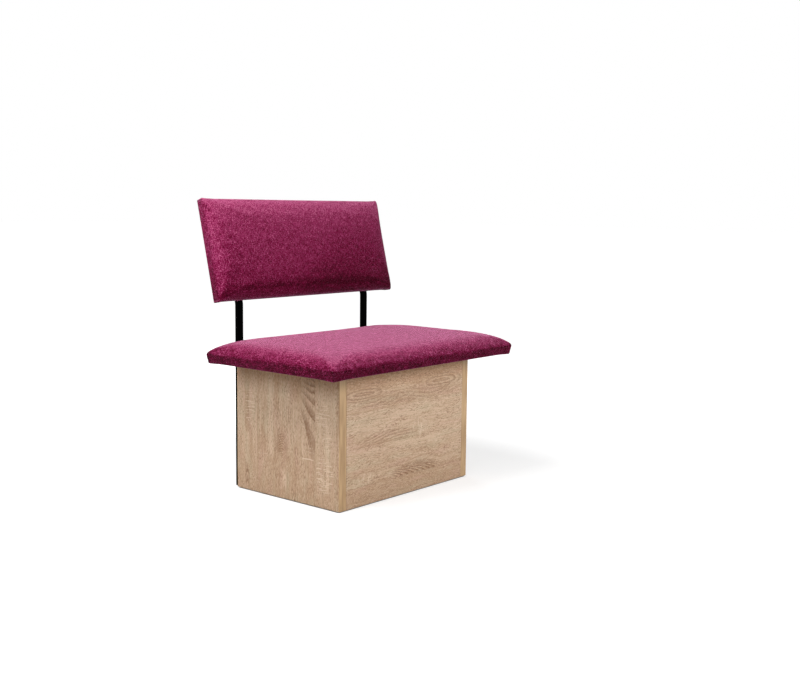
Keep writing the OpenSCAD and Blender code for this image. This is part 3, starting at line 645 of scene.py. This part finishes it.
class Cushion:
    """One cushion in its own frame: x across, y from its near side to its far side, z out of its board."""

    def __init__(self, **sizes):
        vars(self).update(sizes)
        self.depth = self.y1 - self.y0
        long_side, short_side = side_steps(2 * self.half_w), side_steps(self.depth)
        corner, part = [], []
        for k, side in enumerate([long_side, short_side] * 2):
            corner += [k] * (CORNER_STEPS + 1 + len(side))
            part += [i / CORNER_STEPS - 1 for i in range(CORNER_STEPS + 1)] + list(side)
        self.corner, self.part = np.array(corner), np.array(part)
        self.count = len(corner)
        self.right_middle = self.count - (len(short_side) + 1) // 2


# How fast the crown rises from its edge
CROWN_POWER = 4.4
# How fast the rings' corners round off, up the crown and along the fold, and their largest share of a ring
CORNER_GROWTH, FOLD_GROWTH, CORNER_SHARE = 1.6, 0.268, 0.9
CLOTH_THICK = 1.2 * MM

# Points of a ring: steps round a corner, then along a side the first step, its growth and the longest
CORNER_STEPS = 22
FIRST_STEP, STEP_FACTOR, LONGEST_STEP = 0.35 * MM, 1.22, 6 * MM

# Rows of the cover: on its fold, round the rim, up the wall, over the shoulder, up the crown and on its top
FOLD_ROWS, RIM_ROWS, WALL_ROWS, SHOULDER_ROWS, CROWN_ROWS, TOP_ROWS = 6, 6, 6, 7, 24, 25
# Where round the rim its rows start, in degrees, how closely the crown's rows crowd near its edge, and how
# far from the middle line the last row stays
RIM_START, CROWN_CROWDING, MIDDLE_GAP = 15, 1.5, 0.6 * MM
# Rows that the cover's inside follows as well, apart from the last
INSIDE_ROWS = (0, 5, 11, 17, 26, 36, 48)

# The folded corner: how far the doubled cloth, the slit beside it and the lip past the slit stand out, how
# far the first and the last reach, and where they end below and above the edge
PLEAT_DOUBLE, PLEAT_SLIT, PLEAT_LIP = 0.9 * MM, -1.3 * MM, 0.5 * MM
PLEAT_REACH, LIP_REACH = 16 * MM, 8 * MM
PLEAT_END = (-3 * MM, 9 * MM)
# Folds that fan out from the corners: their depth and reach, the still part at the corner, their size and
# lean, and where they end above the edge
TENSION_DEPTH, TENSION_REACH, TENSION_STILL = 0.5 * MM, 30 * MM, 9 * MM
TENSION_SIZE, TENSION_LEAN, TENSION_END = 2.4 * MM, 0.35, 18 * MM
# How far along each side the corner's ear and its hang reach, and how far up the crown its shape fades
EAR_REACH, HANG_REACH, CORNER_FADE = 11 * MM, 34 * MM, 20 * MM
# The seat's swell between the uprights, how far from them it is full, and how far up the crown it fades
SWELL, SWELL_CLEAR, SWELL_FADE = 3 * MM, 26 * MM, 12 * MM
# The foam's unevenness: (size across, size along, height) of the broad and the fine
BROAD_FOAM, FINE_FOAM = (0.16, 0.11, 1.1 * MM), (0.05, 0.045, 0.25 * MM)

# Simulation: the mesh's step, its pressure, stiffness and steps in time, the share of the movement that
# the taut cloth keeps, the furthest that a point may move out and in, and the points that each one follows
VOXEL, PRESSURE, STIFFNESS, FRAMES = 7 * MM, 1.0, 60.0, 20
MOVE_SHARE, MOST_OUT, MOST_IN, FOLLOWED = 0.3, 1.4 * MM, 0.15 * MM, 6


def side_steps(length):
    """Fractions along a side, close together near its ends."""
    step, place, places = FIRST_STEP, 0.0, []
    while place + step < length / 2:
        place += step
        places.append(place)
        step = min(step * STEP_FACTOR, LONGEST_STEP)
    near = np.array(places) / length
    return np.concatenate([near, [0.5], 1 - near[::-1]])


def rise(pad, inset):
    """How far the padding rises above its edge: fast near the edge, and slowly to the middle."""
    left = 1 - min(inset / pad.reach, 1)
    return pad.crown * (1 - left ** CROWN_POWER) + pad.dome * (1 - (1 - 2 * inset / pad.depth) ** 2)


def profile(pad):
    """Rows of (inset, far inset, height, crown inset) from the cover's free edge under the board,
    out and up its side and over the crown to the middle."""
    rows = []
    edge, rim = pad.edge, pad.rim

    def wall(z):
        low = 1 - z / edge
        return pad.slope * low, pad.far_slope * low

    for t in np.linspace(1, 0, FOLD_ROWS):
        under = rim + (pad.fold - rim) * t
        rows.append((pad.slope + under, pad.far_slope + under, 0.0, 0.0))
    for angle in np.radians(np.linspace(RIM_START, 90, RIM_ROWS)):
        z = rim * (1 - math.cos(angle))
        near, far = wall(z)
        inward = rim * (1 - math.sin(angle))
        rows.append((near + inward, far + inward, z, 0.0))
    soft, over = pad.soft_below, pad.soft_above
    for z in np.linspace(rim, edge - soft, WALL_ROWS + 1)[1:]:
        near, far = wall(z)
        rows.append((near, far, z, 0.0))
    start_near, start_far = wall(edge - soft)
    top = edge + rise(pad, over)
    for t in np.linspace(0, 1, SHOULDER_ROWS + 1)[1:]:
        a, b, c = (1 - t) ** 2, 2 * t * (1 - t), t * t
        rows.append((a * start_near + c * over, a * start_far + c * over,
                     a * (edge - soft) + b * edge + c * top, c * over))
    for t in np.linspace(0, 1, CROWN_ROWS + 1)[1:]:
        inset = over + (pad.reach - over) * t ** CROWN_CROWDING
        rows.append((inset, inset, edge + rise(pad, inset), inset))
    middle = pad.depth / 2 - MIDDLE_GAP
    for t in np.linspace(0, 1, TOP_ROWS + 1)[1:]:
        inset = pad.reach + (middle - pad.reach) * t
        rows.append((inset, inset, edge + rise(pad, inset), inset))
    return np.array(rows)


def ring(pad, inset, far_inset, crown_inset, bow, far_bow):
    """A ring's points, the directions out of it, and each point's nearest corner and distance past it."""
    x = pad.half_w - inset
    y0, y1 = pad.y0 + inset, pad.y1 - far_inset
    under = max(inset - pad.slope, 0) if crown_inset == 0 else 0
    r = min(pad.corner_r + CORNER_GROWTH * crown_inset + FOLD_GROWTH * under,
            CORNER_SHARE * min(x, (y1 - y0) / 2))
    centres = np.array([(x - r, y1 - r), (r - x, y1 - r), (r - x, y0 + r), (x - r, y0 + r)])
    k, following = pad.corner, (pad.corner + 1) % 4
    side = np.clip(pad.part, 0, 1)[:, None]
    turn = np.pi / 2 * (k + 1 + np.minimum(pad.part, 0))
    out = np.stack([np.cos(turn), np.sin(turn)], 1)
    drawn = np.where(k == 0, far_bow, bow)[:, None]
    points = centres[k] * (1 - side) + centres[following] * side + out * (r - drawn * np.sin(np.pi * side))
    quarter = math.pi / 2 * r
    length = np.linalg.norm(centres[following] - centres[k], axis=1)
    past = np.where(pad.part <= 0, (pad.part + 0.5) * quarter, quarter / 2 + length * side[:, 0])
    before = quarter / 2 + length * (1 - side[:, 0])
    nearer_next = (pad.part > 0) & (before < past)
    return points, out, np.where(nearer_next, following, k), np.where(nearer_next, -before, past)


def bell(distance, width):
    return np.exp(-(distance / width) ** 2)


def smooth(low, high, value):
    t = np.clip((value - low) / (high - low), 0, 1)
    return t * t * (3 - 2 * t)


def pleat(pad, towards_side, z):
    """How far the folded corner pushes the cloth out. The fold's edge runs up the cushion's left or right
    side, a little off the corner, and the cloth between it and the corner lies double."""
    height = 1 - smooth(pad.edge + PLEAT_END[0], pad.edge + PLEAT_END[1], z)
    past = towards_side - pad.pleat_at
    double = PLEAT_DOUBLE * smooth(0.5 * MM, -0.3 * MM, past) * np.exp(np.minimum(past, 0) / PLEAT_REACH)
    slit = PLEAT_SLIT * bell(past - 0.5 * MM, 0.7 * MM)
    lip = PLEAT_LIP * smooth(0.6 * MM, 1.8 * MM, past) * np.exp(-np.maximum(past, 0) / LIP_REACH)
    return (double + slit + lip) * height


def tension(pad, s, z):
    """Shallow folds that fan out from the corners along the cushion's sides."""
    near = np.exp(-abs(s) / TENSION_REACH) * (1 - bell(s, TENSION_STILL))
    height = smooth(0, pad.edge * 0.4, z) * (1 - smooth(pad.edge, pad.edge + TENSION_END, z))
    return TENSION_DEPTH * near * height * np.sin((abs(s) * TENSION_LEAN + z) / TENSION_SIZE)


def outside_rings(pad):
    """The rings of the cover's outside, and the place on the flat cloth of each of their points."""
    rows = profile(pad)
    run = np.concatenate([[0], np.cumsum(np.hypot(np.diff(rows[:, 0]), np.diff(rows[:, 2])))])
    rings, weave = [], []
    for (inset, far_inset, z, crown_inset), length in zip(rows, run):
        lower = smooth(0, pad.edge, z) if crown_inset == 0 else 1 - min(crown_inset / pad.reach, 1)
        bows = pad.bow * lower, pad.far_bow * lower
        points, out, corner, s = ring(pad, inset, far_inset, crown_inset, *bows)
        spare = run[-1] - length - (pad.depth / 2 - inset)
        weave.append(np.column_stack([points + out * spare, np.full(pad.count, pad.seed)]))
        near_edge = max(1 - crown_inset / CORNER_FADE, 0)
        push = np.zeros(pad.count)
        if near_edge > 0:
            towards_side = np.where(corner % 2 == 1, s, -s)
            push += (pleat(pad, towards_side, z) + tension(pad, s, z)) * smooth(0, pad.rim, z)
            points[:, 1] += np.where(corner < 2, 1, -1) * pad.ear * np.exp(-abs(s) / EAR_REACH) * near_edge
        push += rear_swell(pad, points, out, z, crown_inset)
        points = points + out * push[:, None]
        height = z - pad.hang * bell(s, HANG_REACH) * max(1 - z / pad.edge, 0)
        rings.append(np.column_stack([points, np.broadcast_to(height, pad.count)]))
    rings, weave = np.array(rings), np.array(weave)
    rings[:, :, 2] += unevenness(pad, rings)
    return rows, rings, weave


def rear_swell(pad, points, out, z, crown_inset):
    """The seat's rear swells out between the uprights, which hold it in."""
    if pad is not SEAT:
        return 0
    gap = abs(abs(points[:, 0]) - POST_X) - POST_HALF
    swell = SWELL * smooth(0, SWELL_CLEAR, gap) * smooth(0, pad.edge * 0.7, z)
    return swell * np.maximum(out[:, 1], 0) * math.exp(-crown_inset / SWELL_FADE)


def unevenness(pad, rings):
    """The foam's own unevenness, on the crown alone."""
    def lift(x, y, z):
        if z <= pad.edge:
            return 0.0
        waves = [height * noise.noise(Vector((x / across, y / along, pad.seed + number)))
                 for number, (across, along, height) in ((0, BROAD_FOAM), (5, FINE_FOAM))]
        return smooth(pad.edge, pad.edge + pad.crown * 0.8, z) * sum(waves)
    return np.array([lift(*point) for point in rings.reshape(-1, 3)]).reshape(rings.shape[:2])


def inside_rings(pad, rows, rings):
    """The inside of the cover: some of the outside's rings, set in by its thickness."""
    picked = [*INSIDE_ROWS, len(rows) - 1]
    made = []
    for row in picked:
        inset, far_inset, z, crown_inset = rows[row]
        points = rings[row].copy()
        _, out, _, _ = ring(pad, inset, far_inset, crown_inset, 0, 0)
        if crown_inset == 0 and z <= pad.rim:
            points[:, 2] += CLOTH_THICK
        elif crown_inset > 0:
            points[:, 2] -= CLOTH_THICK
        if row > 0:
            points[:, :2] -= out * CLOTH_THICK * max(0, 1 - 2 * crown_inset / pad.reach)
        made.append(points)
    return picked, np.array(made)


def ring_faces(rings, count):
    step = np.arange(count)
    ahead = (step + 1) % count
    faces = []
    for i in range(rings - 1):
        a, b = i * count, (i + 1) * count
        faces += np.column_stack([a + step, a + ahead, b + ahead, b + step]).tolist()
    return faces


def cap_faces(pad, first):
    """Faces that close a ring, between the columns that face each other across it."""
    pairs = [((pad.right_middle + i) % pad.count, (pad.right_middle - i) % pad.count)
             for i in range(pad.count // 2 + 1)]
    faces = []
    for (a, b), (c, d) in zip(pairs[:-1], pairs[1:]):
        faces.append([first + corner for corner in dict.fromkeys((a, c, d, b))])
    return faces


def new_object(name, data):
    made = bpy.data.objects.new(name, data)
    bpy.context.scene.collection.objects.link(made)
    return made


def mesh_object(name, points, faces):
    mesh = bpy.data.meshes.new(name)
    mesh.from_pydata(points, [], faces)
    mesh.polygons.foreach_set("use_smooth", [True] * len(mesh.polygons))
    return new_object(name, mesh)


def even_copy(pad, rings):
    """A closed and evenly meshed copy of a cover, for the cloth simulation. Its underside is held still."""
    faces = ring_faces(len(rings), pad.count) + cap_faces(pad, (len(rings) - 1) * pad.count)
    faces += [face[::-1] for face in cap_faces(pad, 0)]
    rough = mesh_object(pad.name + "_rough", rings.reshape(-1, 3).tolist(), faces)
    voxels = rough.modifiers.new("voxels", "REMESH")
    voxels.mode, voxels.voxel_size = "VOXEL", VOXEL
    shaped = rough.evaluated_get(bpy.context.evaluated_depsgraph_get())
    even = new_object(pad.name + "_even", bpy.data.meshes.new_from_object(shaped))
    bpy.data.objects.remove(rough)
    held = even.vertex_groups.new(name="held")
    held.add([point.index for point in even.data.vertices if point.co.z < pad.rim], 1.0, "REPLACE")
    cloth = even.modifiers.new("cloth", "CLOTH")
    cloth.point_cache.frame_end = FRAMES
    settings = cloth.settings
    settings.use_pressure = True
    settings.uniform_pressure_force = PRESSURE
    settings.vertex_group_mass = held.name
    settings.tension_stiffness = settings.compression_stiffness = STIFFNESS
    settings.effector_weights.gravity = 0
    return even


def shaped_points(made):
    mesh = made.evaluated_get(bpy.context.evaluated_depsgraph_get()).data
    places = np.empty(len(mesh.vertices) * 3)
    mesh.vertices.foreach_get("co", places)
    return places.reshape(-1, 3)


def simulate(covers):
    """Blows the covers up gently. Returns each one's points before, and how far they have moved after."""
    copies = [even_copy(pad, rings) for pad, rings in covers]
    scene = bpy.context.scene
    scene.frame_set(1)
    before = [shaped_points(copy) for copy in copies]
    for frame_number in range(2, FRAMES + 1):
        scene.frame_set(frame_number)
    moved = [shaped_points(copy) - start for copy, start in zip(copies, before)]
    scene.frame_set(1)
    for copy in copies:
        bpy.data.objects.remove(copy)
    return list(zip(before, moved))


def capped(move):
    """A share of the simulated movement. The filling lets the cover sink in far less than swell out."""
    share = move * MOVE_SHARE
    return np.where(share > 0, MOST_OUT * np.tanh(share / MOST_OUT), MOST_IN * np.tanh(share / MOST_IN))


def settle(pad, rings, before, moved):
    """Adds the simulated movement to a cover, less the mean of each of its rings, and capped."""
    tree = kdtree.KDTree(len(before))
    for number, place in enumerate(before):
        tree.insert(place, number)
    tree.balance()
    move = np.zeros(rings.shape)
    for row in range(len(rings)):
        for column in range(pad.count):
            near = tree.find_n(rings[row, column], FOLLOWED)
            share = np.array([1 / (distance + MM) ** 2 for _, _, distance in near])
            move[row, column] = share @ moved[[number for _, number, _ in near]] / share.sum()
    outward = rings - rings.mean(axis=1, keepdims=True)
    outward[:, :, 2] = 0
    outward /= np.maximum(np.linalg.norm(outward, axis=2, keepdims=True), MM)
    spread = (move * outward).sum(axis=2, keepdims=True)
    settled = rings + outward * capped(spread - spread.mean(axis=1, keepdims=True))
    settled[:, :, 2:] += capped(move[:, :, 2:] - move[:, :, 2:].mean(axis=1, keepdims=True))
    return settled


def make_cushion(pad, outside, material, node):
    """The cover as one closed sheet: from the middle of its inside, round its free edge, to its crown."""
    rows, rings, weave = outside
    picked, inner = inside_rings(pad, rows, rings)
    points = np.concatenate([inner[::-1].reshape(-1, 3), rings.reshape(-1, 3)])
    cloth_places = np.concatenate([weave[picked][::-1].reshape(-1, 3), weave.reshape(-1, 3)])
    total = len(picked) + len(rows)
    faces = ring_faces(total, pad.count) + cap_faces(pad, (total - 1) * pad.count)
    faces += [face[::-1] for face in cap_faces(pad, 0)]
    made = mesh_object(pad.name, points.tolist(), faces)
    woven = made.data.attributes.new("weave", "FLOAT_VECTOR", "POINT")
    woven.data.foreach_set("vector", cloth_places.ravel())
    made.data.materials.append(material)
    made.data.transform(pad.matrix)
    smoother = made.modifiers.new("smooth", "SUBSURF")
    smoother.levels = smoother.render_levels = 1
    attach(made, BODY)
    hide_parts(node)
    return made


# slope is how far the sides draw in below, rim the rounding there, soft how far the shoulder reaches past the
# edge, bow how far the sides curve in, and hang and ear how far the corners go down and out
SEAT = Cushion(
    name="seat_upholstery", half_w=400 * MM, y0=-85 * MM, y1=414.7 * MM, edge=29 * MM,
    crown=34 * MM, dome=5 * MM, reach=115 * MM, slope=5 * MM, far_slope=0.0, corner_r=3.5 * MM,
    fold=25.2 * MM, rim=2.5 * MM, soft_below=6 * MM, soft_above=5 * MM, bow=2 * MM, far_bow=0.0,
    hang=2.2 * MM, ear=0.6 * MM, pleat_at=2.6 * MM, seed=3.0,
    matrix=Matrix.Translation((0, BAND_FRONT, BASE_TOP)))
BACK_START = 7.2 * MM
BACKREST = Cushion(
    name="backrest_upholstery", half_w=374 * MM, y0=BACK_START, y1=BACK_START + 300 * MM, edge=26 * MM,
    crown=22 * MM, dome=7 * MM, reach=85 * MM, slope=2 * MM, far_slope=2 * MM, corner_r=3.5 * MM,
    fold=25.2 * MM, rim=2.5 * MM, soft_below=6 * MM, soft_above=5 * MM, bow=1.2 * MM, far_bow=0.3 * MM,
    hang=0.4 * MM, ear=1.8 * MM, pleat_at=3.6 * MM, seed=11.0,
    matrix=Matrix.Translation((0, BAND_REAR, BEND_HEIGHT)) @ Matrix.Rotation(math.pi / 2 - LEAN, 4, "X"))


def area_light(name, place, aim, width, height, power):
    data = bpy.data.lights.new(name, "AREA")
    data.shape = "RECTANGLE"
    data.size, data.size_y, data.energy = width, height, power
    made = new_object(name, data)
    made.location = place
    made.rotation_mode = "QUATERNION"
    made.rotation_quaternion = (Vector(aim) - Vector(place)).to_track_quat("-Z", "Y")


def seen_directly(tree):
    """1 for rays that come from the camera or off a shiny or clear surface."""
    path = tree.node("LightPath")
    seen = [Wire(tree, path.outputs[name])
            for name in ("Is Camera Ray", "Is Glossy Ray", "Is Transmission Ray")]
    return tree.math("MAXIMUM", seen[0], tree.math("MAXIMUM", seen[1], seen[2]))


# The floor: half its side, how far in from the base's edges its glow is cut to leave a painted shadow under
# the base, its grey, how bright it is seen near the bench, and the distances over which it turns into the
# white background
FLOOR_HALF = 40
GAP_SHADE = 3 * MM
FLOOR_GREY = (0.5, 0.5, 0.5, 1)
NEAR_WHITE = 0.6
WHITE_ZONE = (0.6, 1.3)
WHITE = (1, 1, 1, 1)


def make_floor():
    """A pale floor that keeps the shadow, and turns into the white background further off."""
    tree = Tree("floor")
    x, y, _ = tree.place()
    far = tree.ramp(tree.math("SQRT", x * x + y * y), *WHITE_ZONE)
    middle, half = (BAND_FRONT + BAND_REAR) / 2, (BAND_REAR - BAND_FRONT) / 2
    # Painted shadow: the glow is cut under the base, so the gap below it shows dark
    painted_gap_shadow = tree.ramp(tree.math("ABSOLUTE", x), BASE_HIGH.x, BASE_HIGH.x - GAP_SHADE) \
        * tree.ramp(tree.math("ABSOLUTE", y - middle), half, half - GAP_SHADE)
    diffuse = tree.wire("BsdfDiffuse", [("Color", FLOOR_GREY)])
    white = seen_directly(tree) * (far * (1 - NEAR_WHITE) + NEAR_WHITE) * (1 - painted_gap_shadow)
    glow = tree.wire("Emission", [("Color", WHITE), ("Strength", white)])
    both = tree.wire("AddShader", [(0, diffuse), (1, glow)])
    corners = [(-FLOOR_HALF, -FLOOR_HALF, 0), (FLOOR_HALF, -FLOOR_HALF, 0), (FLOOR_HALF, FLOOR_HALF, 0),
               (-FLOOR_HALF, FLOOR_HALF, 0)]
    floor = mesh_object("floor", corners, [(0, 1, 2, 3)])
    floor.data.materials.append(tree.end(both))


WORLD_LIGHT = 0.06


def make_world():
    """White where it is seen, and a plain soft light on the object."""
    tree = Tree("studio", bpy.data.worlds)
    lit = tree.wire("Background", [("Color", WHITE), ("Strength", WORLD_LIGHT)])
    white = tree.wire("Background", [("Color", WHITE), ("Strength", 1.0)])
    both = tree.wire("MixShader", [(0, seen_directly(tree)), (1, lit), (2, white)])
    bpy.context.scene.world = tree.end(both, "OutputWorld")


# The photograph's view: where the camera stands, and how far it is turned, tipped down and rolled
CAMERA_PLACE = Vector((-2.41188, BAND_FRONT - 2.00806, 0.83401))
CAMERA_TURN, CAMERA_DIP, CAMERA_ROLL = map(math.radians, (49.764, 6.927, 0.680))
CAMERA_LENS, CAMERA_SENSOR = 49.39, 36
CAMERA_NEAREST, CAMERA_FURTHEST = 0.05, 100


def make_camera():
    forward = Vector((math.sin(CAMERA_TURN) * math.cos(CAMERA_DIP),
                      math.cos(CAMERA_TURN) * math.cos(CAMERA_DIP), -math.sin(CAMERA_DIP)))
    level = Vector((math.cos(CAMERA_TURN), -math.sin(CAMERA_TURN), 0))
    upright = level.cross(forward)
    right = math.cos(CAMERA_ROLL) * level + math.sin(CAMERA_ROLL) * upright
    above = math.cos(CAMERA_ROLL) * upright - math.sin(CAMERA_ROLL) * level
    data = bpy.data.cameras.new("camera")
    data.lens, data.sensor_width = CAMERA_LENS, CAMERA_SENSOR
    data.clip_start, data.clip_end = CAMERA_NEAREST, CAMERA_FURTHEST
    camera = new_object("camera", data)
    turned = Matrix((right, above, -forward)).transposed().to_4x4()
    camera.matrix_world = Matrix.Translation(CAMERA_PLACE) @ turned
    bpy.context.scene.camera = camera


# Lamps: (name, place, what it is aimed at, width, height, power)
LAMPS = [
    ("top_light", (-0.9, 0.1, 1.9), (0, 0.1, 0.5), 0.9, 0.9, 22),
    ("corner_light", (-1.3, -0.7, 1.9), (0, 0, 0.5), 0.9, 0.9, 10),
    ("front_light", (0.8, -3.0, 1.6), (0, 0, 0.3), 1.8, 1.4, 76),
    ("rear_light", (1.4, 2.6, 1.5), (0, 0.2, 0.4), 1.4, 1.2, 32),
    ("side_light", (-2.9, 0.3, 1.8), (0, 0, 0.3), 1.2, 1.2, 44),
]

make_camera()
make_world()
make_floor()
for lamp in LAMPS:
    area_light(*lamp)
bpy.context.scene.view_settings.view_transform = "Standard"

dress_nodes()
cloth = velvet()
outsides = [outside_rings(SEAT), outside_rings(BACKREST)]
results = simulate([(SEAT, outsides[0][1]), (BACKREST, outsides[1][1])])
outsides = [(rows, settle(pad, rings, *result), weave)
            for pad, (rows, rings, weave), result in zip((SEAT, BACKREST), outsides, results)]
make_cushion(SEAT, outsides[0], cloth, "seat_cover")
make_cushion(BACKREST, outsides[1], cloth, "back_cover")
